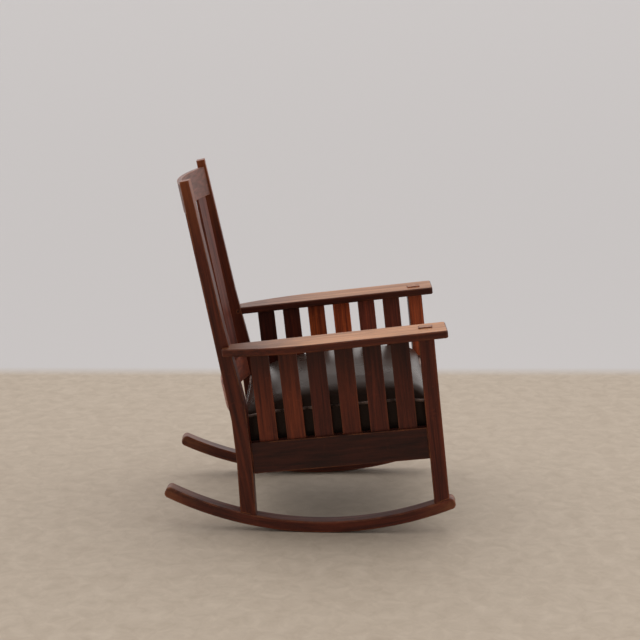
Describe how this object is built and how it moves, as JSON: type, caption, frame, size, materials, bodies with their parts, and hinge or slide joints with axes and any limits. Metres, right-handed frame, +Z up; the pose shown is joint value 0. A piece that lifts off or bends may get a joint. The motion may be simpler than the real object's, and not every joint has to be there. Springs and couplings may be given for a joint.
{
  "type": "mission rocking chair",
  "caption": "Dark stained rocking chair with flat arms over vertical side slats, a bowed slatted back, curved rockers and a lift-out sprung leather seat.",
  "frame": {"origin": "on the floor, on the chair's middle plane, midway between the front and rear tips of the rockers", "axes": "+Z up, -Y the way a sitter faces, +X to the sitter's left; the chair is at rest, leaning back on its rockers"},
  "size_m": [0.716, 0.8152, 0.9886],
  "materials": {
    "stained_wood": "satin",
    "frame_wood": "matte",
    "leather": "satin",
    "webbing": "matte",
    "burlap": "matte",
    "stuffing": "matte",
    "cambric": "matte",
    "spring_steel": "satin",
    "screw_steel": "satin"
  },
  "bodies": {
    "chair": {"arm_left": "stained_wood", "arm_pegs": "stained_wood", "arm_right": "stained_wood", "back_post_left": "stained_wood", "back_post_right": "stained_wood", "back_slat_1": "stained_wood", "back_slat_2": "stained_wood", "back_slat_3": "stained_wood", "back_slat_4": "stained_wood", "back_slat_5": "stained_wood", "cleat_screws": "screw_steel", "corner_block_screws": "screw_steel", "crest_rail": "stained_wood", "front_corner_block_left": "frame_wood", "front_corner_block_right": "frame_wood", "front_post_left": "stained_wood", "front_post_right": "stained_wood", "front_rail": "stained_wood", "lower_back_rail": "stained_wood", "rear_corner_block_left": "frame_wood", "rear_corner_block_right": "frame_wood", "rear_rail": "stained_wood", "rocker_left": "stained_wood", "rocker_pegs": "stained_wood", "rocker_right": "stained_wood", "seat_cleat_left": "frame_wood", "seat_cleat_right": "frame_wood", "side_rail_left": "stained_wood", "side_rail_right": "stained_wood", "side_slat_1_left": "stained_wood", "side_slat_1_right": "stained_wood", "side_slat_2_left": "stained_wood", "side_slat_2_right": "stained_wood", "side_slat_3_left": "stained_wood", "side_slat_3_right": "stained_wood", "side_slat_4_left": "stained_wood", "side_slat_4_right": "stained_wood", "side_slat_5_left": "stained_wood", "side_slat_5_right": "stained_wood", "side_slat_6_left": "stained_wood", "side_slat_6_right": "stained_wood"},
    "seat": {"seat_frame_front": "frame_wood", "seat_frame_rear": "frame_wood", "seat_frame_left": "frame_wood", "seat_frame_right": "frame_wood", "seat_webbing": "webbing", "seat_springs": "spring_steel", "seat_burlap": "burlap", "seat_stuffing": "stuffing", "seat_cover": "leather", "seat_dust_cover": "cambric"}
  },
  "joints": [
    {"name": "seat_lift", "type": "slide", "parent": "chair", "child": "seat", "axis": [0, 0.1089, 0.9941], "range_m": [0, 0.1]}
  ]
}
